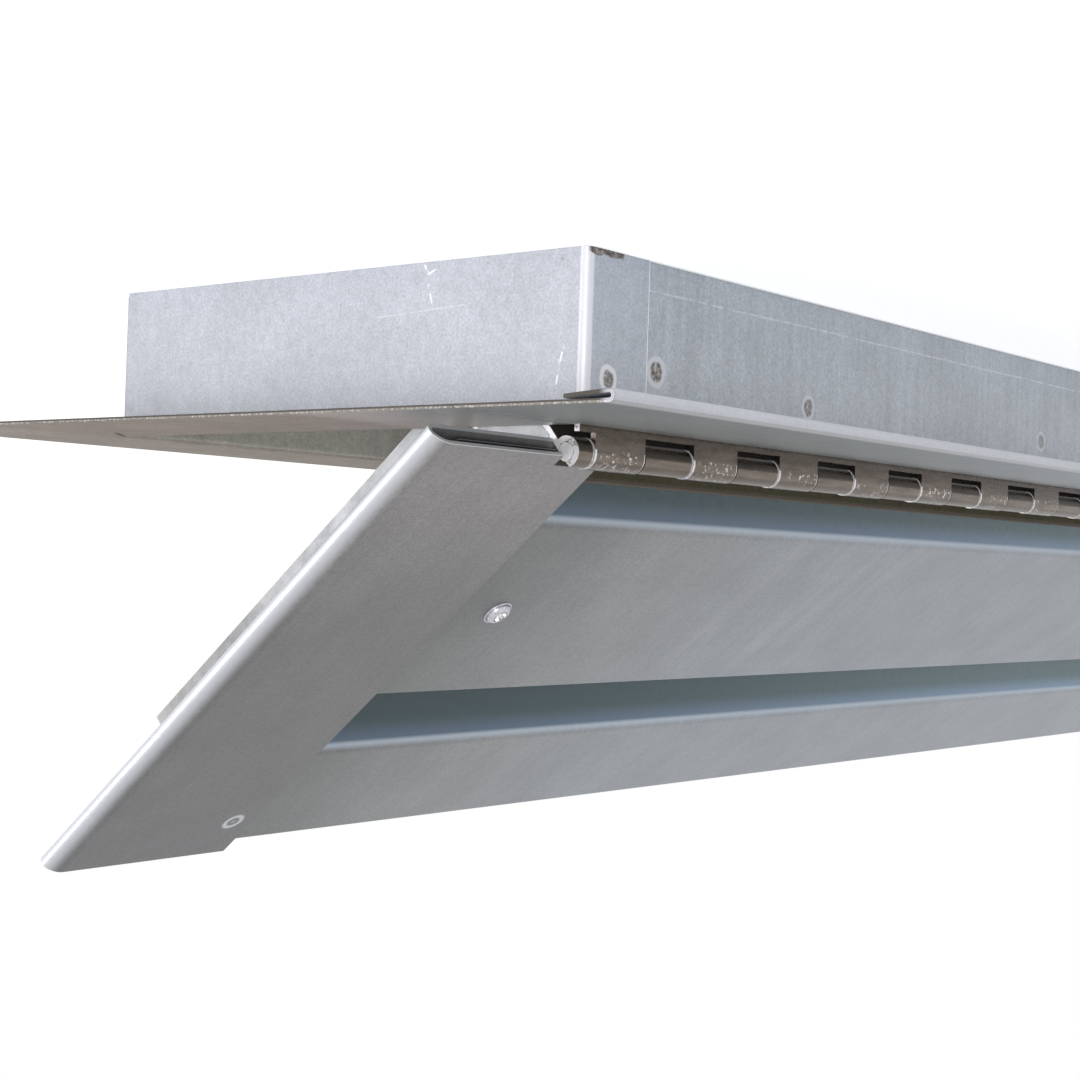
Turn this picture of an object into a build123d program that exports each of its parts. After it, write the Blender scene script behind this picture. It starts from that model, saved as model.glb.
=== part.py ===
from build123d import *
import os
from math import cos, radians, sqrt, tan

# Balcony soffit vent: a galvanised sheet collar with a flange, and a louvred door hung
# on a continuous hinge along one long side. It is drawn as installed, with the flange's
# room face at z = 0 and the soffit above it, and it is then turned over onto its rim.

# Sheet
sheet = 0.55                    # thickness of every folded sheet
bend = 1.5                      # outside radius of a folded corner
fit_gap = 0.05                  # clearance between sheets that lie together
swing_gap = 0.3                 # clearance between pieces that move past each other

# Collar
collar_length = 558.8           # over the side walls, along the hinge
collar_width = 103.2            # over the two side walls
collar_height = 25.7            # flange face to rim
flange_end = 28.0               # flange beyond each end wall
flange_hinge = 26.5             # flange beyond the hinge-side wall
flange_far = 26.5               # flange beyond the far wall
hem_return = 8.0                # teardrop hem on the hinge-side flange
hem_height = 1.8
hem_mouth = 0.15                # the return's edge stands this far off the flange
corner_tab = 14.5               # end piece lapped round the side wall
rim_corner = 2.5                # rounded rim corners of the end walls

# Hinge
hinge_leaf = 0.9                # leaf thickness
hinge_pin = 2.8                 # pin diameter
pin_clearance = 0.05            # radial
bore_sides = 8                  # flats of the rolled bore that touch the pin
knuckle_pitch = 12.7
first_knuckle = 3.8             # the stock is cut inside a knuckle
hinge_drop = 3.8                # axis below the flange face
frame_leaf_height = 12.0        # up the wall, from the flange face
door_leaf_height = 11.0         # from the axis
leaf_slot_height = 0.6          # relief over each of the other leaf's knuckles
curl_mouth = 0.9                # from the axis to the open side of the door's knuckles
curl_slit = 0.5                 # between a frame knuckle's end and its leaf

# Door, measured from the hinge axis: u across the face, w square to it into the collar
door_open = 40.0                # degrees, as it stands
door_face = 0.2                 # w of the outer face
door_span = 104.8               # u of the free edge
stile_top = 0.5                 # u of the stile's end at the hinge
stile_extra = 1.4               # stile past the blade at the free edge
stile_overhang = 27.0           # stile beyond the collar's end
stile_inner = 9.6               # stile edge inside the collar's end
hem_play = 0.3                  # round the blade ends, in the stile's open hem
roll_radius = 3.6               # the stile's face rolls back at its outer edge
end_wall_inset = 1.0            # tray end wall inside the collar's end
tray_depth = 22.8               # w of the tray's rim
tray_far = 97.5                 # u of the tray end wall's far side
tray_corner = 19.0              # its rounded corner, which swings past the far wall
blade_1 = (17.2, 61.4)          # u of the upper blade's bend and lower edge
blade_2_bend = 78.4             # u of the lower blade's bend
blade_legs = (5.0, 10.0)        # depth of the upper and the lower blade's leg
blade_bend = 2.5                # outside radius of the bend between face and leg
blade_leg_angle = 45.0
blade_tab = 21.5                # blade ends in the hem, beyond the collar's end
tab_recess = 0.6                # the upper blade's tab inside the stile's end
joint_tab = 18.0                # end tabs of the tray's hinge-side wall
screw_along = 22.4              # closing screw, from the collar's end
screw_across = 39.3             # and from the hinge axis
screw_head = 5.2                # pan head, over its collar ring
screw_head_height = 1.3
screw_ring = 0.35               # ring at the foot of the head
screw_shank = 2.9
screw_length = 8.0

half_length = collar_length / 2
half_width = collar_width / 2
barrel = hinge_pin / 2 + pin_clearance + hinge_leaf
axis_y = -half_width + sheet + barrel
axis_z = -hinge_drop
pin_bore = RegularPolygon(hinge_pin / 2 + pin_clearance, bore_sides, major_radius=False)


def folded(points, radius, plane, depth, side=Side.LEFT):
    """A sheet folded along points, its outer corners rounded, drawn out by depth."""
    line = FilletPolyline(*points, radius=radius) if radius else Polyline(*points)
    edge = Wire(line.edges()).offset_2d(sheet, kind=Kind.ARC, side=side)
    return extrude(plane * Face(edge), depth, dir=plane.z_dir)


def block(x, y, z):
    """A box between pairs of coordinates."""
    return Pos((x[0] + x[1]) / 2, (y[0] + y[1]) / 2, (z[0] + z[1]) / 2) * Box(
        abs(x[1] - x[0]), abs(y[1] - y[0]), abs(z[1] - z[0]))


def both_ends(shape):
    return [shape, mirror(shape, Plane.YZ)]


# Side rails: wall, clear of the end pieces' bends, and flange run out to the corners
rail_end = half_length - (bend - sheet)


def side_rail(sign, flange):
    run = half_length + flange_end
    wall = block((-rail_end, rail_end), (0, sheet), (bend, collar_height))
    section = Plane(origin=(-run, 0, 0), x_dir=(0, 1, 0), z_dir=(1, 0, 0))
    fold = folded([(-flange, 0), (sheet, 0), (sheet, bend + sheet)], bend, section, 2 * run)
    for end in both_ends(block((-run - 1, -half_length), (0, 2 * sheet), (-1, collar_height))
                         + block((-run - 1, -rail_end), (-bend, 2 * sheet), (sheet, collar_height))):
        fold -= end
    rail = wall + fold
    rail = Pos(0, -half_width, 0) * rail
    return rail if sign < 0 else Rot(0, 0, 180) * rail


hem_radius = hem_height / 2
run = half_length + flange_end
section = Plane(origin=(-run, -half_width - flange_hinge, 0), x_dir=(0, 1, 0), z_dir=(1, 0, 0))
hem_outer = make_face([
    Line((hem_radius, 0), (hem_radius, sheet)),
    ThreePointArc((hem_radius, sheet), (sheet, hem_radius), (hem_radius, hem_height - sheet)),
    Line((hem_radius, hem_height - sheet), (hem_return, sheet + hem_mouth)),
    Line((hem_return, sheet + hem_mouth), (hem_return, 2 * sheet + hem_mouth)),
    Line((hem_return, 2 * sheet + hem_mouth), (hem_radius, hem_height)),
    ThreePointArc((hem_radius, hem_height), (0, hem_radius), (hem_radius, 0))])
hem = extrude(section * hem_outer, 2 * run)
hinge_side_rail = side_rail(-1, flange_hinge - hem_radius) + hem
far_side_rail = side_rail(1, flange_far)

# End pieces: wall, corner tabs round the side rails, and flange between theirs
plan = Plane(origin=(0, 0, sheet + fit_gap))
tab_x = -half_length + corner_tab
wrap_y = half_width + sheet + fit_gap
wrap_x = -half_length - sheet - fit_gap
wrap = folded([(tab_x, -wrap_y), (wrap_x, -wrap_y), (wrap_x, wrap_y), (tab_x, wrap_y)], bend, plan,
              collar_height - sheet - fit_gap, Side.RIGHT)
inner_y = half_width - fit_gap
lip = Plane(origin=(0, inner_y, 0), x_dir=(1, 0, 0), z_dir=(0, -1, 0))
foot = folded([(-half_length - flange_end, 0), (wrap_x + sheet, 0), (wrap_x + sheet, 2 * bend)],
              bend, lip, 2 * inner_y, Side.LEFT)
end_piece = wrap + foot
round_off = block((wrap_x - 1, wrap_x + bend), (wrap_y - rim_corner, wrap_y + 1),
                  (collar_height - rim_corner, collar_height + 1))
round_off -= Pos(wrap_x, wrap_y - rim_corner, collar_height - rim_corner) * Rot(0, 90, 0) * Cylinder(
    rim_corner, 4 * bend)
end_piece -= round_off
for side in (-1, 1):
    end_piece -= block((-rail_end - fit_gap, tab_x + 1), (side * half_width, side * (wrap_y + 1)),
                       (0, bend + fit_gap))
end_piece_near, end_piece_far = both_ends(end_piece)

# Continuous hinge
hinge_ends = (-half_length, half_length)
joints = [hinge_ends[0]]
edge = hinge_ends[0] + first_knuckle
while edge < hinge_ends[1] - swing_gap:
    joints.append(edge)
    edge += knuckle_pitch
joints.append(hinge_ends[1])
spans = list(zip(joints[:-1], joints[1:]))


def knuckle_span(i):
    """The x range of knuckle i, with half the running gap at each inner end."""
    a, b = spans[i]
    a += swing_gap / 2 if i else 0
    b -= swing_gap / 2 if i < len(spans) - 1 else 0
    return a, b


def along(face, x):
    """Draw a (y, z) face out along the hinge between two x values."""
    at = Plane(origin=(x[0], axis_y, axis_z), x_dir=(0, 1, 0), z_dir=(1, 0, 0))
    return extrude(at * face, x[1] - x[0])


frame_leaf_y = -barrel + hinge_leaf / 2
door_leaf_y = curl_mouth - hinge_leaf / 2
leaf_foot = barrel - swing_gap


def plate(y, top):
    """The flat of a leaf, from just inside the barrel's outside up to its edge."""
    return Pos(y, (leaf_foot + top) / 2) * Rectangle(hinge_leaf, top - leaf_foot)


def relief(y):
    """The cut in a leaf over one of the other leaf's knuckles."""
    top = barrel + leaf_slot_height
    return Pos(y, top / 2) * Rectangle(2 * hinge_leaf, top)


frame_curl = Circle(barrel) + Pos(frame_leaf_y, barrel / 2) * Rectangle(hinge_leaf, barrel)
frame_curl -= pin_bore + Pos(curl_slit, barrel) * Rectangle(curl_slit, 2 * hinge_leaf)
door_curl = Circle(barrel) - Pos(barrel + curl_mouth, 0) * Rectangle(2 * barrel, 4 * barrel)
door_curl += Pos(door_leaf_y, barrel * 0.75) * Rectangle(hinge_leaf, barrel / 2)
door_curl -= pin_bore

hinge_frame_leaf = along(plate(frame_leaf_y, frame_leaf_height + hinge_drop), hinge_ends)
hinge_door_leaf = along(plate(door_leaf_y, door_leaf_height), hinge_ends)
for i in range(len(spans)):
    start, end = knuckle_span(i)
    reach = (start - swing_gap, end + swing_gap)
    if i % 2:
        hinge_frame_leaf += along(frame_curl, (start, end))
        hinge_door_leaf -= along(relief(door_leaf_y), reach)
    else:
        hinge_door_leaf += along(door_curl, (start, end))
        hinge_frame_leaf -= along(relief(frame_leaf_y), reach)
hinge_pin_rod = along(Circle(hinge_pin / 2), hinge_ends)

# Door, drawn closed: u along +y and w along +z from the hinge axis
hem_depth = 3 * sheet + 2 * hem_play
back_face = door_face + hem_depth
door_x = -half_length - stile_overhang
wall_x = -half_length + end_wall_inset
stile_in = -half_length + stile_inner
stile_end = door_span + stile_extra
roll_turn = 45
roll_rise = roll_radius * (1 - cos(radians(roll_turn)))
fold_radius = 0.95 * (hem_depth - roll_rise) / (1 + cos(radians(roll_turn)))
fold_x = door_x - sqrt(2) * fold_radius
stile_line = [(stile_in, door_face), (fold_x + hem_depth, door_face), (fold_x, back_face),
              (wall_x, back_face), (wall_x, tray_depth)]
stile_plane = Plane(origin=(0, stile_end, 0), x_dir=(1, 0, 0), z_dir=(0, -1, 0))
stile = folded(stile_line, [roll_radius, fold_radius, bend - sheet], stile_plane,
               stile_end - stile_top, Side.RIGHT)
clear = barrel + swing_gap
stile -= block((-half_length - swing_gap, stile_in + 1), (stile_top - 1, clear), (-1, back_face + fit_gap))
stile -= block((-half_length - swing_gap, wall_x + 2 * sheet), (stile_top - 1, curl_mouth + swing_gap),
               (back_face, tray_depth + 1))
far_cut = block((wall_x - fit_gap, wall_x + 2 * sheet), (tray_far - tray_corner, stile_end + 1),
                (tray_depth - tray_corner, tray_depth + 1))
far_cut -= Pos(wall_x, tray_far - tray_corner, tray_depth - tray_corner) * Rot(0, 90, 0) * Cylinder(
    tray_corner, 6 * sheet)
stile -= far_cut
stile -= block((wall_x - bend, wall_x + 2 * sheet), (tray_far, stile_end + 1),
               (back_face + fit_gap, tray_depth + 1))
end_stile_near, end_stile_far = both_ends(stile)

blade_w = door_face + sheet + hem_play
tray_inner = wall_x + sheet + fit_gap


def louvre(bend_u, edge_u, leg, tab_u):
    """A blade: flat face in the stiles' hems, and a leg leaned back towards the hinge."""
    lean = leg / tan(radians(blade_leg_angle))
    leg_x = tray_inner + sheet + fit_gap
    plane = Plane(origin=(leg_x, 0, blade_w), x_dir=(0, 1, 0), z_dir=(1, 0, 0))
    body = folded([(edge_u, 0), (bend_u, 0), (bend_u - lean, leg)], blade_bend, plane,
                  -2 * leg_x, Side.RIGHT)
    tab_x = -half_length - blade_tab
    flat_u = bend_u + blade_bend
    tab = block((tab_x, leg_x + 1), (flat_u, edge_u), (blade_w, blade_w + sheet))
    if tab_u is not None:
        tab += block((tab_x, -half_length - swing_gap), (tab_u, flat_u), (blade_w, blade_w + sheet))
    for end in both_ends(tab):
        body += end
    return body


upper_blade = louvre(blade_1[0], blade_1[1], blade_legs[0], stile_top + tab_recess)
lower_blade = louvre(blade_2_bend, door_span, blade_legs[1], None)

wall_u = curl_mouth
tray_wall = block((tray_inner, -tray_inner), (wall_u, wall_u + sheet), (barrel + swing_gap, tray_depth))
for end in both_ends(block((tray_inner, tray_inner + sheet), (wall_u + sheet, joint_tab),
                           (back_face + 1, tray_depth - 1))):
    tray_wall += end
screw_x = -half_length + screw_along
screw_w = blade_w
crown = screw_head / 2 - screw_ring
screw_line = [(0, -screw_head_height), (crown / 2, -screw_head_height),
              (crown * 0.85, -screw_head_height * 0.8), (crown, -screw_head_height * 0.4),
              (crown, -screw_ring), (screw_head / 2, -screw_ring), (screw_head / 2, 0),
              (screw_shank / 2, 0), (screw_shank / 2, screw_length), (0, screw_length)]
screw_section = Plane(origin=(screw_x, screw_across, screw_w), x_dir=(1, 0, 0), z_dir=(0, -1, 0))
screw = revolve(screw_section * make_face(Polyline(*screw_line, close=True)),
                Axis((screw_x, screw_across, 0), (0, 0, 1)))
hole = Pos(screw_x, screw_across, blade_w) * Cylinder(screw_shank / 2 + fit_gap, 4 * sheet)
for end in both_ends(hole):
    upper_blade -= end
closing_screw_near, closing_screw_far = both_ends(screw)

door_parts = {
    "end_stile_near": end_stile_near,
    "end_stile_far": end_stile_far,
    "upper_blade": upper_blade,
    "lower_blade": lower_blade,
    "tray_hinge_wall": tray_wall,
    "closing_screw_near": closing_screw_near,
    "closing_screw_far": closing_screw_far,
}
frame_parts = {
    "hinge_side_rail": hinge_side_rail,
    "far_side_rail": far_side_rail,
    "end_piece_near": end_piece_near,
    "end_piece_far": end_piece_far,
    "hinge_frame_leaf": hinge_frame_leaf,
    "hinge_pin": hinge_pin_rod,
}

# The door is swung open about the axis, and the whole vent turned over onto its rim
axis_at = Pos(0, axis_y, axis_z)
swing = Rot(-door_open, 0, 0)
stored = Pos(0, 0, collar_height) * Rot(180, 0, 0)
parts = {}
for name, shape in frame_parts.items():
    parts[name] = stored * shape
for name, shape in door_parts.items():
    parts[name] = stored * axis_at * swing * shape
parts["hinge_door_leaf"] = stored * axis_at * swing * Pos(0, -axis_y, -axis_z) * hinge_door_leaf

os.makedirs("parts", exist_ok=True)
for name, shape in parts.items():
    shape.label = name
    export_step(shape, "parts/" + name + ".step")
    box = shape.bounding_box()
    print(name, len(shape.solids()), round(shape.volume), box.min, box.max)
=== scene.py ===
"""Balcony soffit vent: the finish of its galvanised sheet, hinge and screws, its spot
welds and scratches, and the camera and light of the photograph.

The vent stands upside down on its collar's rim, so the camera is rolled to see it as
installed. Lengths are in metres, and in millimetres where a comment says so.
"""
import math

import bmesh
import bpy
from mathutils import Matrix, Vector


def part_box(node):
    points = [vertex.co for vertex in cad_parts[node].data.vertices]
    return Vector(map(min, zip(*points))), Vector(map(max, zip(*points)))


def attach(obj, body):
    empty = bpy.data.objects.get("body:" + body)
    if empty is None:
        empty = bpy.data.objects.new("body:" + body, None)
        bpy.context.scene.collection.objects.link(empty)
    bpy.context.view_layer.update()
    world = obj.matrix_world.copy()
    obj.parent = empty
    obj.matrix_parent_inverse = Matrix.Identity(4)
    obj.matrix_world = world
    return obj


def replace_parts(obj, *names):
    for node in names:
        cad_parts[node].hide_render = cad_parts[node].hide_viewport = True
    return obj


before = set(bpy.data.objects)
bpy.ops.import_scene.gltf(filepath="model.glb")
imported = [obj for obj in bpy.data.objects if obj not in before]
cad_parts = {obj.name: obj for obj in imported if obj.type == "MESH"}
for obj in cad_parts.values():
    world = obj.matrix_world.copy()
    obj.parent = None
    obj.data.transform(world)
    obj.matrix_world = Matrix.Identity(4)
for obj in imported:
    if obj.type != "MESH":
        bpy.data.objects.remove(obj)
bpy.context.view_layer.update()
MM = 0.001

# Camera, from a fit of the collar, flange, hinge and door to the photograph. It stands off the
# near end, to the hinge's side of it.
CAMERA_AT = Vector((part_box("end_piece_near")[0].x - 0.17932, 0.21204, 0.04582))
CAMERA_RIGHT = Vector((0.627886, 0.777599, -0.033149))
CAMERA_UP = Vector((-0.031028, -0.017549, -0.999364))
CAMERA_LENS = 61.04


def make_camera():
    data = bpy.data.cameras.new("camera")
    data.lens = CAMERA_LENS
    data.sensor_width = 36.0
    data.clip_start, data.clip_end = 0.01, 20.0
    camera = bpy.data.objects.new("camera", data)
    bpy.context.scene.collection.objects.link(camera)
    right = CAMERA_RIGHT.normalized()
    back = right.cross(CAMERA_UP).normalized()
    up = back.cross(right)
    camera.matrix_world = Matrix.Translation(CAMERA_AT) @ Matrix(
        (right, up, back)).transposed().to_4x4()
    bpy.context.scene.camera = camera


make_camera()


class Shader:
    """A node material, built by short calls."""

    def __init__(self, name):
        self.material = bpy.data.materials.new(name)
        self.material.use_nodes = True
        self.tree = self.material.node_tree
        self.tree.nodes.clear()
        self.out = self.node("ShaderNodeOutputMaterial")
        self.bsdf = self.node("ShaderNodeBsdfPrincipled")
        self.link(self.bsdf.outputs[0], self.out.inputs[0])
        self.coord = self.node("ShaderNodeTexCoord").outputs["Object"]

    def node(self, kind, **values):
        made = self.tree.nodes.new(kind)
        for key, value in values.items():
            setattr(made, key, value)
        return made

    def link(self, a, b):
        self.tree.links.new(a, b)

    def put(self, socket, value):
        if hasattr(value, "is_output"):
            self.link(value, socket)
        else:
            socket.default_value = value

    def mapped(self, scale, turn=(0, 0, 0)):
        made = self.node("ShaderNodeMapping")
        self.link(self.coord, made.inputs["Vector"])
        made.inputs["Scale"].default_value = scale
        made.inputs["Rotation"].default_value = turn
        return made.outputs[0]

    def noise(self, scale, detail=3.0, rough=0.5, vector=None):
        made = self.node("ShaderNodeTexNoise")
        self.link(vector if vector is not None else self.coord, made.inputs["Vector"])
        made.inputs["Scale"].default_value = scale
        made.inputs["Detail"].default_value = detail
        made.inputs["Roughness"].default_value = rough
        return made.outputs["Fac"]

    def ramp(self, value, *stops):
        made = self.node("ShaderNodeValToRGB")
        self.link(value, made.inputs[0])
        band = made.color_ramp
        while len(band.elements) < len(stops):
            band.elements.new(0.5)
        for element, (at, colour) in zip(band.elements, stops):
            element.position = at
            element.color = colour if len(colour) == 4 else (*colour, 1.0)
        return made.outputs[0]

    def mix(self, fac, a, b, how="MIX"):
        made = self.node("ShaderNodeMix", data_type="RGBA", blend_type=how)
        self.put(made.inputs[0], fac)
        self.put(made.inputs[6], a if hasattr(a, "is_output") else (*a, 1.0))
        self.put(made.inputs[7], b if hasattr(b, "is_output") else (*b, 1.0))
        return made.outputs[2]

    def math(self, how, a, b=0.0):
        made = self.node("ShaderNodeMath", operation=how)
        self.put(made.inputs[0], a)
        self.put(made.inputs[1], b)
        return made.outputs[0]

    def step(self, value, start, end):
        """0 at start and 1 at end, smooth between and level beyond. Start may be the larger."""
        made = self.node("ShaderNodeMapRange", interpolation_type="SMOOTHSTEP")
        self.put(made.inputs["Value"], value)
        if start > end:
            start, end = end, start
            made.inputs["To Min"].default_value, made.inputs["To Max"].default_value = 1.0, 0.0
        made.inputs["From Min"].default_value = start
        made.inputs["From Max"].default_value = end
        return made.outputs[0]

    def band(self, value, low, high, soft):
        """1 between low and high, with soft edges."""
        return self.math("MULTIPLY", self.step(value, low - soft, low + soft),
                         self.step(value, high + soft, high - soft))

    def split(self, vector):
        made = self.node("ShaderNodeSeparateXYZ")
        self.link(vector, made.inputs[0])
        return made.outputs

    def either(self, value):
        """The value without its sign: the same at both ends, or on both sides."""
        return self.math("ABSOLUTE", value)

    def outside(self, mask):
        return self.math("SUBTRACT", 1.0, mask)

    def most(self, a, b):
        return self.math("MAXIMUM", a, b)

    def along(self, direction, start=0.0):
        """Distance along a direction, from start."""
        made = self.node("ShaderNodeVectorMath", operation="DOT_PRODUCT")
        self.link(self.coord, made.inputs[0])
        made.inputs[1].default_value = direction
        return self.math("SUBTRACT", made.outputs["Value"], start)

    def far(self, point, stretch=(1.0, 1.0, 1.0)):
        """Distance from a point, with each axis stretched."""
        moved = self.node("ShaderNodeVectorMath", operation="SUBTRACT")
        self.link(self.coord, moved.inputs[0])
        moved.inputs[1].default_value = point
        scaled = self.node("ShaderNodeVectorMath", operation="MULTIPLY")
        self.link(moved.outputs[0], scaled.inputs[0])
        scaled.inputs[1].default_value = stretch
        made = self.node("ShaderNodeVectorMath", operation="LENGTH")
        self.link(scaled.outputs[0], made.inputs[0])
        return made.outputs["Value"]

    def facing(self, direction, least):
        """1 where the surface faces a direction, in the frame of the object."""
        made = self.node("ShaderNodeVectorMath", operation="DOT_PRODUCT")
        self.link(self.node("ShaderNodeTexCoord").outputs["Normal"], made.inputs[0])
        made.inputs[1].default_value = direction
        return self.step(made.outputs["Value"], least, least + 0.1)

    def wrapped(self, value, start, period):
        """value - start, counted again from 0 at each period."""
        made = self.node("ShaderNodeMath", operation="WRAP")
        self.link(self.math("SUBTRACT", value, start), made.inputs[0])
        made.inputs[1].default_value, made.inputs[2].default_value = period, 0.0
        return made.outputs[0]

    def both(self, *masks):
        """1 where all masks are 1."""
        made = masks[0]
        for mask in masks[1:]:
            made = self.math("MULTIPLY", made, mask)
        return made

    def bump(self, height, strength, distance):
        made = self.node("ShaderNodeBump")
        made.inputs["Strength"].default_value = strength
        made.inputs["Distance"].default_value = distance
        self.link(height, made.inputs["Height"])
        self.link(made.outputs[0], self.bsdf.inputs["Normal"])


def grey(value, tint=(1.0, 1.0, 1.0)):
    """A grey, or a tint made brighter or darker."""
    return tuple(value * t for t in tint)


# Faces and edges of the CAD part that marks and tones lie on, in metres. The masks' limits lie
# a little to either side of them.
WALL_Y = 0.0516                    # outer faces of the long walls
END_X = 0.2800                     # outer faces of the end walls
FLANGE_X = 0.3074                  # cut edges of the end flanges
ROOM_Z = 0.0257                    # the flange's room face

# The door stands at this angle about the hinge axis, so its faces have these directions
OPEN = math.radians(40.0)
AXIS = Vector((0.0, 48.7, 29.5)) * MM
ACROSS = Vector((0.0, -math.cos(OPEN), math.sin(OPEN)))
INTO = Vector((0.0, -math.sin(OPEN), -math.cos(OPEN)))
DOOR_FACE = 0.2                    # inner side of the stiles' face, in millimetres from the axis
BLADE_FACE = 1.05                  # the blades' outer face


def door_point(x, u, w=DOOR_FACE):
    """A point on the door, in millimetres: along the hinge, across the face and into it."""
    return Vector((x * MM, 0.0, 0.0)) + AXIS + ACROSS * u * MM + INTO * w * MM


class Zinc(Shader):
    """Zinc-coated sheet: fine grain, faint clouds and rolling streaks, and marks over them."""

    METAL, SPECULAR, ROUGH = 0.35, 0.50, 0.42      # of the plain sheet

    def __init__(self, name, colour):
        super().__init__(name)
        self.x, self.y, self.z = self.split(self.coord)
        self.grain = self.noise(2300.0, 4.0, 0.7)
        self.cloud = self.noise(70.0, 4.0, 0.6)
        self.mottle = self.noise(600.0, 3.0, 0.55)
        streak = self.noise(1.0, 3.0, 0.5, self.mapped((700.0, 30.0, 30.0)))
        base = self.mix(self.step(self.cloud, 0.3, 0.7), grey(0.94, colour), grey(1.06, colour))
        base = self.mix(0.5, base, self.ramp(self.grain, (0.36, grey(0.70)), (0.64, grey(1.30))),
                        "MULTIPLY")
        base = self.mix(0.5, base, self.ramp(self.mottle, (0.34, grey(0.86)), (0.66, grey(1.12))),
                        "MULTIPLY")
        base = self.mix(0.6, base, self.ramp(streak, (0.35, grey(0.95)), (0.65, grey(1.04))),
                        "MULTIPLY")
        self.colour = base
        self.height = self.grain
        self.bsdf.inputs["Metallic"].default_value = self.METAL
        self.link(self.ramp(self.mottle, (0.3, grey(self.ROUGH - 0.05)),
                            (0.7, grey(self.ROUGH + 0.06))), self.bsdf.inputs["Roughness"])

    def paint(self, mask, colour, how="MIX"):
        self.colour = self.mix(mask, self.colour, colour, how)

    def door_axes(self):
        """Distances from the hinge axis: across the door's face, and square to it into the tray."""
        return self.along(ACROSS, ACROSS.dot(AXIS)), self.along(INTO, INTO.dot(AXIS))

    def weld(self, point, ring, core, ring_colour=(0.66, 0.67, 0.70), dark=1.0):
        """Spot weld at a point in metres: a pale ring round a pitted brown core, pressed into the
        sheet. The radii of ring and core are in millimetres."""
        uneven = 0.9 * MM
        wobble = self.math("MULTIPLY", self.noise(700.0, 2.0), uneven)
        span = self.math("ADD", self.far(point), self.math("SUBTRACT", wobble, uneven / 2))
        edge = self.band(span, core * MM, ring * MM, 0.00018)
        middle = self.step(span, core * MM + 0.0002, core * MM - 0.0003)
        pits = self.ramp(self.noise(1300.0, 3.0, 0.7), (0.40, (0.09, 0.075, 0.06)),
                         (0.55, (0.30, 0.27, 0.25)), (0.66, (0.62, 0.60, 0.60)))
        self.paint(self.math("MULTIPLY", edge, 0.85), ring_colour)
        self.paint(self.math("MULTIPLY", middle, dark), pits)
        self.height = self.math("SUBTRACT", self.height, self.math("MULTIPLY", middle, 1.5))

    def scratch(self, start, end, width=0.25, colour=(0.80, 0.81, 0.84)):
        """A pale scratch between two points in millimetres, broken up by noise."""
        a, b = Vector(start) * MM, Vector(end) * MM
        length = (b - a).length
        way = (b - a) / length
        along = self.along(way, way.dot(a))
        reach = self.band(along, 0.0, length, 0.0002)
        # Distance from the line: the distance from its middle without the part along it
        away = self.far(tuple((a + b) / 2))
        part = self.math("SUBTRACT", along, length / 2)
        left = self.math("SUBTRACT", self.math("MULTIPLY", away, away),
                         self.math("MULTIPLY", part, part))
        gap = self.math("SQRT", self.most(left, 0.0))
        line = self.step(gap, width * MM * 0.75, width * MM * 0.25)
        broken = self.step(self.noise(900.0, 3.0), 0.36, 0.52)
        self.paint(self.both(reach, line, broken), colour)

    def done(self):
        self.link(self.colour, self.bsdf.inputs["Base Color"])
        self.bump(self.height, 0.16, 0.00004)
        return self.material


# Pale colour for real wear on the crease, and for the painted highlight on the hem's fold
WEAR_AND_HIGHLIGHT = (0.72, 0.73, 0.78)

# Spot welds on the hinge-side wall, in millimetres: x, z, radius of ring and of core, and how
# dark the core is
WALL_WELDS = [(-261.7, 16.3, 2.45, 1.55, 1.0), (-217.0, 17.8, 2.1, 1.45, 0.8)] + [
    (x, 16.6, 2.1, 1.45, 0.55) for x in (-121.8, -25.0, 71.0, 167.0, 217.0, 261.7)]


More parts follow.
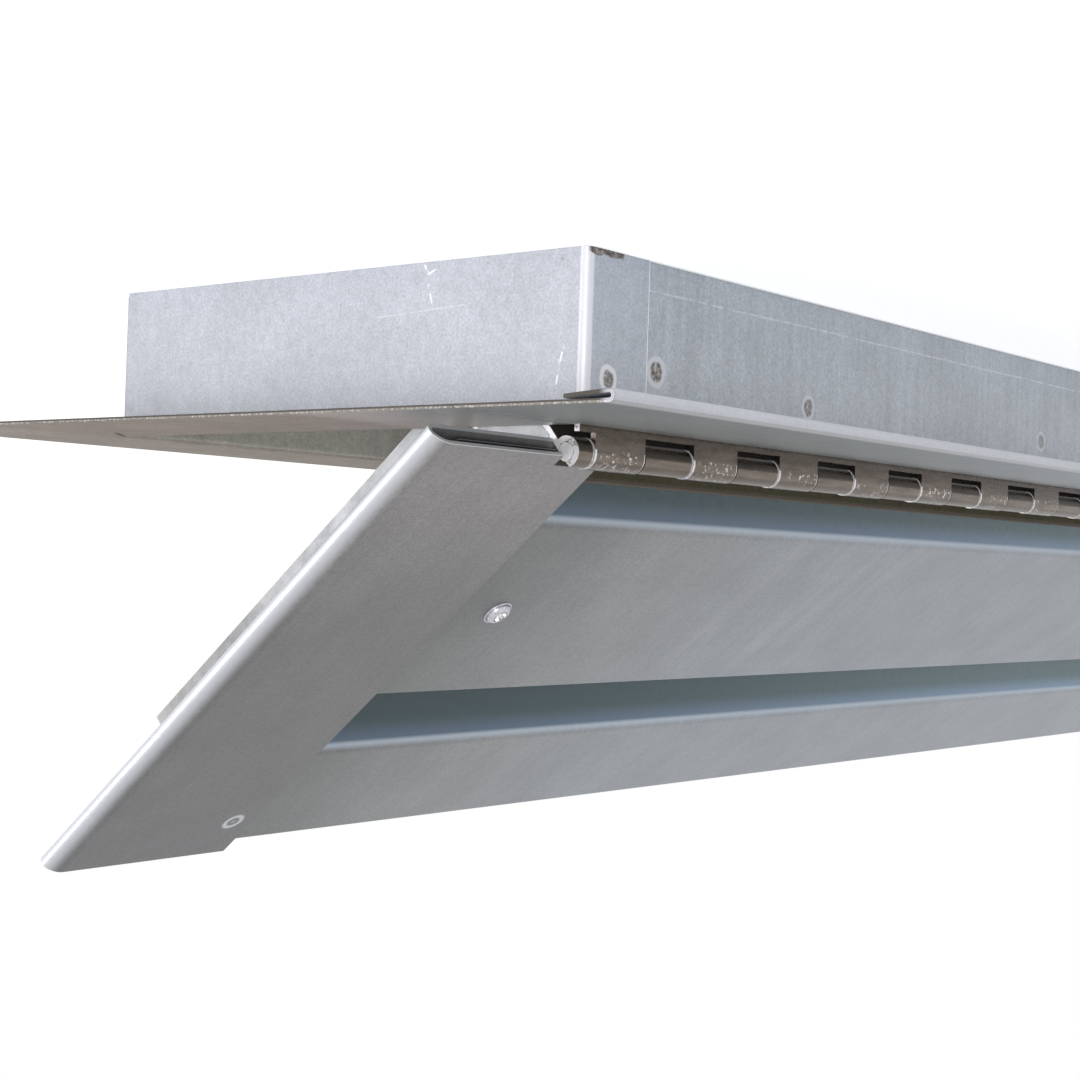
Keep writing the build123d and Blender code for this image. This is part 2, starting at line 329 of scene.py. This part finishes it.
def flange_tones(made):
    """The flange's room face is matt and painted with a warm reflection at the end and the far
    side, and with grey shade along the hinge. The inside of the collar is painted olive brown as
    shade, darker along the middle and lighter towards the ends. The end flange's cut edge is dark
    with pale flecks."""
    from_side, from_end = made.either(made.y), made.either(made.x)
    room_face = made.both(made.facing((0, 0, 1), 0.6),
                          made.step(made.z, ROOM_Z - 0.9 * MM, ROOM_Z - 0.5 * MM))
    to_hinge = made.step(made.y, 0.020, 0.058)
    # Painted reflection: the room face is warm at the end and the far side; painted shade along the
    # hinge, deepest at the near end
    hinge_flange_shade = made.mix(made.step(made.x, -0.27, -0.06), (0.36, 0.37, 0.34), (0.80, 0.82, 0.84))
    made.paint(room_face, made.mix(to_hinge, (1.25, 1.07, 0.91), hinge_flange_shade), "MULTIPLY")
    outer_face = made.both(made.step(from_side, WALL_Y - 0.2 * MM, WALL_Y - 0.1 * MM),
                           made.step(made.z, ROOM_Z - 0.7 * MM, ROOM_Z - 1.2 * MM))
    inside = made.both(made.step(from_side, WALL_Y - 1.6 * MM, WALL_Y - 0.8 * MM),
                       made.step(from_side, WALL_Y + 1.5 * MM, WALL_Y + 0.5 * MM),
                       made.step(from_end, END_X - 0.6 * MM, END_X - 1.0 * MM),
                       made.outside(outer_face), made.outside(room_face))
    # Painted shade inside the collar, olive brown and darkest along the middle, and painted light
    # towards its ends
    middle = made.step(from_end, 0.215, 0.150)
    made.paint(inside, made.mix(middle, (1.56, 1.39, 1.13), (0.50, 0.41, 0.25)), "MULTIPLY")
    # Painted shadow on the far flange, next to the opening
    opening_shadow = made.both(made.step(made.y, -0.0680, -0.0560), made.step(made.y, -0.0505, -0.0510))
    made.paint(made.both(opening_shadow, middle, room_face), (0.40, 0.37, 0.33), "MULTIPLY")
    # Seen at a low angle, the painted shade inside and the painted reflection on the flange don't
    # shine
    matt = made.most(made.both(inside, middle), made.both(room_face, made.outside(to_hinge)))
    shine = made.outside(matt)
    made.link(made.math("MULTIPLY", shine, made.METAL), made.bsdf.inputs["Metallic"])
    made.link(made.math("MULTIPLY", shine, made.SPECULAR), made.bsdf.inputs["Specular IOR Level"])
    # The end flange's cut edge: darkest towards the collar, flecked towards the room
    cut = made.step(from_end, FLANGE_X - 0.18 * MM, FLANGE_X - 0.10 * MM)
    lower = made.step(made.z, ROOM_Z - 0.25 * MM, ROOM_Z - 0.35 * MM)
    upper = made.step(made.z, ROOM_Z - 0.30 * MM, ROOM_Z - 0.22 * MM)
    flecks = made.step(made.noise(2000.0, 3.0, 0.7), 0.50, 0.60)
    made.paint(cut, (0.17, 0.15, 0.13))
    made.paint(made.both(cut, lower), (0.045, 0.037, 0.030))
    made.paint(made.both(cut, upper, flecks, 0.65), (0.56, 0.54, 0.53))


def rail_sheet():
    """The long walls with their flanges: upright streaks, a painted highlight on the hem's fold,
    the crease and the welds of the hinge-side wall."""
    made = Zinc("zinc_rail", (0.475, 0.505, 0.55))
    flange_tones(made)
    wall = made.both(made.step(made.y, WALL_Y - 0.4 * MM, WALL_Y - 0.2 * MM),
                     made.step(made.z, ROOM_Z - 2.2 * MM, ROOM_Z - 3.2 * MM))
    streaks = made.noise(1.0, 4.0, 0.6, made.mapped((520.0, 20.0, 22.0)))
    made.paint(made.math("MULTIPLY", wall, 0.8),
               made.ramp(streaks, (0.30, grey(0.92)), (0.68, grey(1.08))), "MULTIPLY")
    # Painted highlight on the hem's fold
    fold = made.both(made.step(made.y, 0.0755, 0.0772), made.step(made.z, 0.0238, 0.0242))
    made.paint(made.math("MULTIPLY", fold, 0.5), WEAR_AND_HIGHLIGHT)
    # The crease that runs along the wall under its rim, rubbed pale in places
    wave = made.math("MULTIPLY", made.noise(60.0, 3.0), 0.0004)
    crease = made.band(made.math("ADD", made.z, wave), 0.00435, 0.00462, 0.00010)
    in_places = made.ramp(made.noise(420.0, 4.0, 0.7), (0.36, grey(0.15)), (0.58, grey(0.85)))
    made.paint(made.both(wall, crease, in_places), WEAR_AND_HIGHLIGHT)
    for x, z, ring, core, dark in WALL_WELDS:
        made.weld((x * MM, WALL_Y, z * MM), ring, core, dark=dark)
    return made.done()


# Scratches on the near end wall, in millimetres: y and z of both ends, and width
END_SCRATCHES = [
    ((20.4, 0.4), (21.2, 1.9), 0.36), ((21.2, 1.9), (22.9, 1.2), 0.28),
    ((21.2, 3.5), (22.1, 6.4), 0.25), ((48.2, 14.2), (47.5, 16.6), 0.3),
    ((47.5, 16.6), (47.0, 19.8), 0.3),
]
TAB_X = 265.0 * MM                 # edges of the end pieces' tabs on the long walls
TAB_WELD = (274.5 * MM, 52.2 * MM, 18.6 * MM)


def end_sheet():
    """The end pieces: scratches and a dot on the near end wall, a painted highlight on the corner
    bend, the tabs round the corners, and marks on the near flange."""
    made = Zinc("zinc_end", (0.455, 0.465, 0.505))
    flange_tones(made)
    wall_x = -END_X / MM
    for (y0, z0), (y1, z1), width in END_SCRATCHES:
        made.scratch((wall_x, y0, z0), (wall_x, y1, z1), width)
    made.scratch((wall_x, 10.0, 8.0), (wall_x, 30.0, 7.0), 0.12, (0.60, 0.62, 0.66))
    dot = made.step(made.far((-END_X, 0.0475, 0.0016)), 0.00035, 0.0002)
    made.paint(made.math("MULTIPLY", dot, 0.5), (0.2, 0.22, 0.25))
    # Painted highlight on the corner's bend
    bend = made.both(made.facing((-0.707, 0.707, 0.0), 0.72), made.step(made.y, 0.0500, 0.0506))
    made.paint(made.math("MULTIPLY", bend, 0.75), (0.88, 0.87, 0.91))
    # The tab round the corner: its cut edge catches the light, its rim is rough and dark
    from_end = made.either(made.x)
    tab = made.step(made.y, WALL_Y, WALL_Y + 0.2 * MM)
    made.paint(made.both(tab, made.step(from_end, TAB_X + 0.12 * MM, TAB_X)), (0.86, 0.87, 0.90))
    lap = made.math("MULTIPLY", made.noise(420.0, 3.0), 0.0022)
    rim = made.both(tab, made.step(made.math("ADD", made.z, lap), 0.0022, 0.0018),
                    made.band(from_end, 0.2715, 0.2794, 0.0003))
    made.paint(rim, made.ramp(made.noise(900.0, 3.0, 0.7), (0.42, (0.07, 0.06, 0.05)),
                              (0.60, (0.24, 0.20, 0.18)), (0.72, (0.6, 0.57, 0.55))))
    made.paint(made.both(tab, made.step(bend, 0.5, 0.1)), (1.06, 1.10, 1.13), "MULTIPLY")
    weld_x, weld_y, weld_z = TAB_WELD
    for x in (-weld_x, weld_x):
        made.weld((x, weld_y, weld_z), 2.1, 1.25, (0.84, 0.83, 0.85), 0.9)
    # Marks on the near flange: a dent, short scratches, and the line of the corner's lap
    dent = made.step(made.far((-0.283, -0.0322, ROOM_Z)), 0.0006, 0.0003)
    made.paint(made.math("MULTIPLY", dent, 0.6), (0.12, 0.10, 0.09))
    face_z = ROOM_Z / MM
    made.scratch((-283.6, -34.6, face_z), (-283.4, -33.7, face_z), 0.3)
    made.scratch((-288.5, -42.5, face_z), (-279.0, -51.5, face_z), 0.9, (0.16, 0.15, 0.14))
    made.scratch((-279.8, -50.6, face_z), (-278.6, -52.0, face_z), 0.6)
    return made.done()


STILE_WELD = (274.6, 96.2)         # on the stiles' faces: along the hinge, and across from it


def stile_sheet():
    """The stiles: brownish grey in painted light at the hinge, bluer in painted shade towards the
    free edge. The tray's end walls, which are part of them, are mottled, and darker towards the
    free edge."""
    made = Zinc("zinc_stile", (0.41, 0.41, 0.42))
    u, w = made.door_axes()
    from_end = made.either(made.x)
    # Painted light and shade across the face: lighter and browner at the hinge, darker towards the
    # free edge
    made.paint(1.0, made.ramp(made.math("MULTIPLY", u, 10.0), (0.08, (0.70, 0.67, 0.66)),
                              (0.45, (0.47, 0.465, 0.46)), (1.0, (0.42, 0.425, 0.43))), "MULTIPLY")
    # Painted highlight on the rolled outer edge, and painted shade inside the open hem
    made.paint(made.both(made.step(from_end, 0.3046, 0.3070), 0.70), (0.78, 0.80, 0.86))
    hem = made.both(made.band(w, 0.0009, 0.0021, 0.0001), made.step(from_end, 0.3060, 0.3050))
    made.paint(hem, (0.035, 0.036, 0.036))
    # The tray's end walls, with a weld between two pale flanks
    wall = made.both(made.step(from_end, 0.2840, 0.2815), made.step(w, 0.0028, 0.0032))
    mottled = made.ramp(made.noise(90.0, 5.0, 0.7), (0.34, (0.27, 0.28, 0.29)),
                        (0.56, (0.44, 0.445, 0.46)), (0.70, (0.54, 0.54, 0.56)))
    lower = made.mix(made.step(u, 0.030, 0.090), (1.0, 1.0, 1.0), (0.62, 0.60, 0.58))
    made.paint(wall, made.mix(1.0, mottled, lower, "MULTIPLY"))
    pits = made.ramp(made.noise(900.0, 4.0, 0.75), (0.42, (0.08, 0.07, 0.055)),
                     (0.58, (0.30, 0.26, 0.23)), (0.70, (0.72, 0.70, 0.70)))
    level = made.band(made.z, 0.0215, 0.0310, 0.0006)
    made.paint(made.both(wall, made.band(made.y, 0.0262, 0.0304, 0.0002), level), pits)
    flanks = made.math("SUBTRACT", made.band(made.y, 0.0253, 0.0313, 0.0003),
                       made.band(made.y, 0.0260, 0.0306, 0.0002))
    made.paint(made.both(wall, flanks, level), (0.86, 0.85, 0.85))
    # A faint ring weld near the free edge of each face
    face = made.step(w, 0.0012, 0.0009)
    weld_x, weld_u = STILE_WELD
    for x in (-weld_x, weld_x):
        span = made.far(tuple(door_point(x, weld_u)))
        made.paint(made.both(face, made.band(span, 0.0013, 0.0021, 0.00025)), (0.62, 0.63, 0.66))
        made.paint(made.both(face, made.step(span, 0.0009, 0.0005), 0.6), (0.55, 0.55, 0.58))
    # Cut ends at the hinge: pale, and a little rough
    made.paint(made.both(made.step(u, 0.00072, 0.00055), made.step(w, 0.0050, 0.0040)),
               (0.66, 0.66, 0.68))
    return made.done()


def blade_sheet():
    """The blades: faces with painted shade at the near end, and legs painted slate-blue as the
    shade of the faces and hinge.
    """
    made = Zinc("zinc_blade", (0.445, 0.46, 0.48))
    u, w = made.door_axes()
    # Painted shade on the faces towards the near end, lighter towards the far end
    from_near = made.math("MULTIPLY", made.math("ADD", made.x, 0.30), 3.0)
    made.paint(1.0, made.ramp(from_near, (0.08, (0.37, 0.365, 0.35)), (0.21, (0.64, 0.64, 0.635)),
                              (0.40, (0.75, 0.78, 0.82)), (0.90, (0.77, 0.81, 0.86))), "MULTIPLY")
    # Legs painted slate-blue as shade, darker deeper in, with painted light towards the far end
    leg, face = made.step(w, 0.0017, 0.0024), made.step(w, 0.0024, 0.0017)
    slate = made.mix(made.step(w, 0.0020, 0.0050), (0.120, 0.170, 0.235), (0.063, 0.096, 0.107))
    far_leg_light = made.mix(made.step(made.x, -0.28, 0.05), grey(0.90), grey(1.95))
    made.paint(leg, made.mix(1.0, slate, far_leg_light, "MULTIPLY"))
    # Light on the bend between leg and face
    fold = made.most(made.band(u, 0.0152, 0.0168, 0.0007), made.band(u, 0.0764, 0.0780, 0.0007))
    made.paint(made.both(face, fold, 0.70), (0.60, 0.70, 0.82))
    # The tabs' ends in the stiles' hems are in the dark
    between_sheets = made.band(w, 0.0012, 0.00135, 0.0001)
    made.paint(made.step(u, 0.0016, 0.0013),
               made.mix(between_sheets, (0.035, 0.038, 0.040), (0.30, 0.32, 0.34)))
    # Wiped patches that run slantwise over the upper blade
    slant = made.mapped((90.0, 9.0, 9.0), (0.0, 0.0, 0.9))
    smear = made.math("MULTIPLY", made.step(made.noise(1.0, 4.0, 0.6, slant), 0.50, 0.62), 0.12)
    spread = made.both(made.band(made.x, -0.195, -0.135, 0.012),
                       made.band(u, 0.018, 0.058, 0.006), face)
    made.paint(made.both(spread, smear), (0.60, 0.60, 0.60))
    return made.done()


KNUCKLE = 12.7 * MM                # pitch of the hinge's knuckles
FIRST_KNUCKLE = -275.6 * MM        # start of the frame's first whole one
BARREL = 2.35 * MM                 # outside radius
HINGE_END = 279.4 * MM             # the cut ends of the strip, from the middle


def hinge_steel():
    """Plated hinge strip, polished and brown in reflection. The frame's knuckles are pitted with
    bright specks, knuckle ends have painted highlights, cut ends are pale, and the leaves have
    painted shade between."""
    made = Shader("hinge_plating")
    x = made.split(made.coord)[0]
    drag = made.noise(1.0, 4.0, 0.6, made.mapped((130.0, 900.0, 900.0)))
    pit = made.noise(1300.0, 3.0, 0.65)
    colour = made.mix(made.step(drag, 0.25, 0.75), (0.135, 0.110, 0.093), (0.205, 0.172, 0.148))
    radius = made.far(tuple(AXIS), (0.0, 1.0, 1.0))
    barrel = made.step(radius, BARREL + 0.10 * MM, BARREL + 0.05 * MM)
    # The two leaves' knuckles take turns along the pin
    turn = made.wrapped(x, FIRST_KNUCKLE, 2 * KNUCKLE)
    frames = made.band(turn, 1.0 * MM, KNUCKLE - 0.9 * MM, 0.8 * MM)
    speck = made.both(barrel, frames, made.step(made.noise(1300.0, 3.0, 0.7), 0.56, 0.64),
                      made.step(made.noise(150.0, 2.0), 0.44, 0.56))
    colour = made.mix(made.both(speck, 0.75), colour, (0.86, 0.83, 0.83))
    # Painted highlights on the knuckles' ends
    soft = 0.05 * MM
    rim = made.most(made.band(turn, 0.0, 0.60 * MM, soft),
                    made.most(made.band(turn, KNUCKLE - 0.30 * MM, KNUCKLE, soft),
                              made.band(turn, 2 * KNUCKLE - 0.28 * MM, 2 * KNUCKLE, soft)))
    rim = made.both(rim, barrel, made.step(radius, BARREL - 0.35 * MM, BARREL - 0.15 * MM))
    colour = made.mix(made.both(rim, 0.95), colour, (0.98, 0.96, 0.97))
    # Painted shade on the door's leaf, seen through the slots of the frame's
    between = made.both(made.facing((0.0, 0.766, -0.643), 0.85),
                        made.step(radius, BARREL + 0.10 * MM, BARREL + 0.15 * MM))
    colour = made.mix(between, colour, (0.050, 0.041, 0.034))
    # The barrel's side away from the flange is in the shade
    low = made.both(barrel, made.facing((0.0, 0.0, 1.0), 0.45), 0.38)
    colour = made.mix(low, colour, (0.030, 0.024, 0.020))
    cut = made.step(made.either(x), HINGE_END - 0.15 * MM, HINGE_END - 0.05 * MM)
    rough_cut = made.ramp(made.noise(700.0, 4.0, 0.75), (0.36, (0.34, 0.30, 0.29)),
                          (0.44, (0.90, 0.87, 0.88)), (0.62, (0.98, 0.96, 0.97)))
    colour = made.mix(cut, colour, rough_cut)
    made.link(colour, made.bsdf.inputs["Base Color"])
    plain = made.most(made.most(cut, between), made.both(rim, 0.6))
    made.link(made.math("SUBTRACT", 0.92, made.both(plain, 0.85)), made.bsdf.inputs["Metallic"])
    polish = made.ramp(pit, (0.3, grey(0.18)), (0.75, grey(0.34)))
    made.link(made.mix(between, polish, grey(0.85)), made.bsdf.inputs["Roughness"])
    made.bump(pit, 0.22, 0.00005)
    return made.material


SCREW_X, SCREW_U = 257.0, 39.3     # along the hinge from the middle, and across from the hinge


def screw_steel():
    """Zinc-plated screws, with a painted highlight in the recess and painted shade round it and in
    the groove of the head.
    """
    made = Shader("screw_plating")
    x = made.split(made.coord)[0]
    pit = made.noise(1800.0, 3.0, 0.6)
    colour = made.mix(made.step(pit, 0.3, 0.7), (0.50, 0.49, 0.54), (0.70, 0.69, 0.75))
    side = made.math("SUBTRACT", made.either(x), SCREW_X * MM)
    across = made.along(ACROSS, ACROSS.dot(AXIS) + SCREW_U * MM)
    radius = made.math("SQRT", made.math("ADD", made.math("MULTIPLY", side, side),
                                         made.math("MULTIPLY", across, across)))
    # Painted shade in the groove and round the recess, and a painted highlight in the recess
    groove = made.band(radius, 0.00222, 0.00236, 0.00004)
    recess_rim_shade = made.both(made.band(radius, 0.00112, 0.00128, 0.00006), 0.8)
    colour = made.mix(groove, colour, (0.10, 0.095, 0.10))
    colour = made.mix(recess_rim_shade, colour, (0.16, 0.155, 0.16))
    colour = made.mix(made.step(radius, 0.00112, 0.00104), colour, (0.95, 0.94, 0.96))
    made.link(colour, made.bsdf.inputs["Base Color"])
    made.bsdf.inputs["Metallic"].default_value = 0.6
    made.bsdf.inputs["Roughness"].default_value = 0.32
    made.bump(pit, 0.2, 0.00004)
    return made.material


RAIL, END, STILE, BLADE = rail_sheet(), end_sheet(), stile_sheet(), blade_sheet()
HINGE, SCREW = hinge_steel(), screw_steel()
TRAY = Zinc("zinc_tray", (0.40, 0.41, 0.43)).done()
FINISH = {
    "hinge_side_rail": RAIL, "far_side_rail": RAIL, "end_piece_near": END, "end_piece_far": END,
    "hinge_frame_leaf": HINGE, "hinge_door_leaf": HINGE, "hinge_pin": HINGE,
    "end_stile_near": STILE, "end_stile_far": STILE, "upper_blade": BLADE, "lower_blade": BLADE,
    "tray_hinge_wall": TRAY, "closing_screw_near": SCREW, "closing_screw_far": SCREW,
}
for name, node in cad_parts.items():
    node.data.materials.clear()
    node.data.materials.append(FINISH[name])


# Closing screws, in millimetres: pan head over a thin ring, with a cross recess, and a threaded
# shank. The head's profile is given as radius and height over the blade's face.
HEAD = [(0.0, 1.12), (0.6, 1.12), (1.2, 1.08), (1.6, 0.98), (1.9, 0.82), (2.1, 0.62),
        (2.2, 0.42), (2.22, 0.22), (2.28, 0.16), (2.36, 0.22), (2.46, 0.26), (2.55, 0.20),
        (2.6, 0.10), (2.6, 0.0)]
RECESS_ARM, RECESS_HALF, RECESS_DEPTH = 1.15, 0.42, 0.60
SHANK_CORE, SHANK, SHANK_LENGTH = 1.12, 1.42, 6.6
THREAD_PITCH, THREAD_HALF = 1.06, 0.32         # the crest's half width is a share of the pitch
AROUND = 96                                    # points in each ring of the mesh
SHANK_RINGS, TIP_RINGS = 44, 6


def head_height(r):
    for (r0, h0), (r1, h1) in zip(HEAD, HEAD[1:]):
        if r <= r1:
            return h0 + (h1 - h0) * ((r - r0) / (r1 - r0) if r1 > r0 else 1.0)
    return 0.0


def recess(x, y):
    """How deep the cross recess is at a point of the head."""
    deep = 0.0
    for a, b in ((x, y), (y, x)):
        half = RECESS_HALF * (1.15 - 0.25 * abs(a) / RECESS_ARM)
        side = min(max((half - abs(b)) / 0.10 + 0.5, 0.0), 1.0)
        tip = min(max((RECESS_ARM - abs(a)) / 0.12 + 0.5, 0.0), 1.0)
        deep = max(deep, side * tip * RECESS_DEPTH * (1.0 - 0.35 * abs(a) / RECESS_ARM))
    return deep


def thread_radius(height, angle, taper):
    phase = (height / THREAD_PITCH + angle / (2 * math.pi)) % 1.0
    crest = max(0.0, 1.0 - abs(phase - 0.5) / THREAD_HALF)
    return (SHANK_CORE + (SHANK - SHANK_CORE) * crest) * taper


def closing_screw(name, x, turn):
    """A screw through the upper blade, square to its face, with its recess turned."""
    mesh = bmesh.new()
    side = Vector((1.0, 0.0, 0.0))
    origin = door_point(x, SCREW_U, BLADE_FACE)

    def place(px, py, h):
        return mesh.verts.new(origin + (side * px + ACROSS * py - INTO * h) * MM)

    def ring_of(radius, height):
        """A ring whose radius and height depend on the angle."""
        points = []
        for i in range(AROUND):
            angle = 2 * math.pi * i / AROUND
            r = radius(angle)
            px, py = r * math.cos(angle), r * math.sin(angle)
            points.append(place(px, py, height(px, py)))
        return points

    def head_at(px, py):
        cx = px * math.cos(turn) + py * math.sin(turn)
        cy = -px * math.sin(turn) + py * math.cos(turn)
        return head_height(math.hypot(px, py)) - recess(cx, cy)

    radii = [0.08 * i for i in range(1, 22)] + [r for r, h in HEAD[:-1] if r > 1.7]
    rings = [ring_of(lambda angle: r, head_at) for r in radii]
    rings.append(ring_of(lambda angle: HEAD[-1][0], lambda px, py: 0.0))
    centre = place(0.0, 0.0, HEAD[0][1] - RECESS_DEPTH)
    for i in range(SHANK_RINGS + 1):
        h = -SHANK_LENGTH * i / SHANK_RINGS
        taper = min(1.0, 0.35 + 0.65 * (SHANK_RINGS - i) / TIP_RINGS)
        rings.append(ring_of(lambda angle: thread_radius(h, angle, taper), lambda px, py: h))
    tip = place(0.0, 0.0, -SHANK_LENGTH)
    for a, b in zip(rings, rings[1:]):
        for i in range(AROUND):
            j = (i + 1) % AROUND
            mesh.faces.new((a[i], a[j], b[j], b[i]))
    for i in range(AROUND):
        j = (i + 1) % AROUND
        mesh.faces.new((centre, rings[0][j], rings[0][i]))
        mesh.faces.new((tip, rings[-1][i], rings[-1][j]))
    bmesh.ops.recalc_face_normals(mesh, faces=mesh.faces)
    data = bpy.data.meshes.new(name)
    mesh.to_mesh(data)
    mesh.free()
    for face in data.polygons:
        face.use_smooth = True
    piece = bpy.data.objects.new(name, data)
    piece.data.materials.append(SCREW)
    bpy.context.scene.collection.objects.link(piece)
    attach(piece, "door")
    return piece


for screw_name, screw_x, screw_turn in (("near", -SCREW_X, 0.5), ("far", SCREW_X, 1.1)):
    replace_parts(closing_screw("pan_screw_" + screw_name, screw_x, screw_turn),
                "closing_screw_" + screw_name)


# Floor and surroundings, white to the camera and in reflections; the floor keeps the shadow
def background_rays(tree):
    """1 for camera, glossy and transmission rays."""
    path = tree.nodes.new("ShaderNodeLightPath")
    total = path.outputs["Is Camera Ray"]
    for kind in ("Is Glossy Ray", "Is Transmission Ray"):
        made = tree.nodes.new("ShaderNodeMath")
        made.operation = "MAXIMUM"
        tree.links.new(total, made.inputs[0])
        tree.links.new(path.outputs[kind], made.inputs[1])
        total = made.outputs[0]
    return total


FLOOR_GLOW = 0.68                  # with the light that falls on it, the floor shows white


def stage_material():
    """White floor. It glows only outside the collar, so the floor within is in its shade."""
    made = Shader("stage_white")
    made.bsdf.inputs["Base Color"].default_value = (0.93, 0.93, 0.93, 1.0)
    made.bsdf.inputs["Roughness"].default_value = 1.0
    made.bsdf.inputs["Specular IOR Level"].default_value = 0.0
    made.bsdf.inputs["Emission Color"].default_value = (1.0, 1.0, 1.0, 1.0)
    split = made.split(made.coord)
    beyond = made.most(made.step(made.either(split[0]), END_X - 1.0 * MM, END_X + 1.0 * MM),
                       made.step(made.either(split[1]), WALL_Y - 0.6 * MM, WALL_Y + 1.4 * MM))
    made.link(made.both(background_rays(made.tree), beyond, FLOOR_GLOW),
              made.bsdf.inputs["Emission Strength"])
    return made.material


def make_floor():
    mesh = bpy.data.meshes.new("floor")
    half = 6.0                                 # metres, so that its edge is out of sight
    mesh.from_pydata([(-half, -half, 0), (half, -half, 0), (half, half, 0), (-half, half, 0)],
                     [], [(0, 1, 2, 3)])
    floor = bpy.data.objects.new("floor", mesh)
    floor.data.materials.append(stage_material())
    bpy.context.scene.collection.objects.link(floor)


make_floor()


def make_world():
    """White to the camera and in reflections; a pale blue level at the sides, dimmer and
    warmer overhead, for light."""
    world = bpy.data.worlds.new("studio")
    world.use_nodes = True
    tree = world.node_tree
    nodes, links = tree.nodes, tree.links
    nodes.clear()
    out = nodes.new("ShaderNodeOutputWorld")
    light = nodes.new("ShaderNodeBackground")
    seen = nodes.new("ShaderNodeBackground")
    mix = nodes.new("ShaderNodeMixShader")
    where = nodes.new("ShaderNodeTexCoord")
    split = nodes.new("ShaderNodeSeparateXYZ")
    ramp = nodes.new("ShaderNodeValToRGB")
    links.new(where.outputs["Generated"], split.inputs[0])
    links.new(split.outputs["Z"], ramp.inputs[0])
    sides, overhead = ramp.color_ramp.elements
    sides.position, sides.color = 0.05, (0.66, 0.72, 0.80, 1.0)
    overhead.position, overhead.color = 0.70, (0.36, 0.34, 0.31, 1.0)
    links.new(ramp.outputs[0], light.inputs[0])
    light.inputs[1].default_value = 1.0
    seen.inputs[0].default_value = (1.0, 1.0, 1.0, 1.0)
    seen.inputs[1].default_value = 1.0
    links.new(background_rays(tree), mix.inputs[0])
    links.new(light.outputs[0], mix.inputs[1])
    links.new(seen.outputs[0], mix.inputs[2])
    links.new(mix.outputs[0], out.inputs[0])
    bpy.context.scene.world = world


make_world()


def area_light(name, at, target, size, power, colour=(1.0, 1.0, 1.0)):
    data = bpy.data.lights.new(name, "AREA")
    data.size, data.energy, data.color = size, power, colour
    light = bpy.data.objects.new(name, data)
    bpy.context.scene.collection.objects.link(light)
    light.location = at
    light.rotation_mode = "QUATERNION"
    light.rotation_quaternion = (Vector(target) - Vector(at)).to_track_quat("-Z", "Y")


area_light("key", (-1.75, -0.9, 0.45), (-0.28, 0, 0.03), 0.9, 17.0, (0.97, 0.98, 1.0))
area_light("window", (-1.37, 0.93, 0.16), (-0.28, 0.05, 0.01), 0.35, 6.0)

bpy.context.scene.view_settings.view_transform = "Standard"
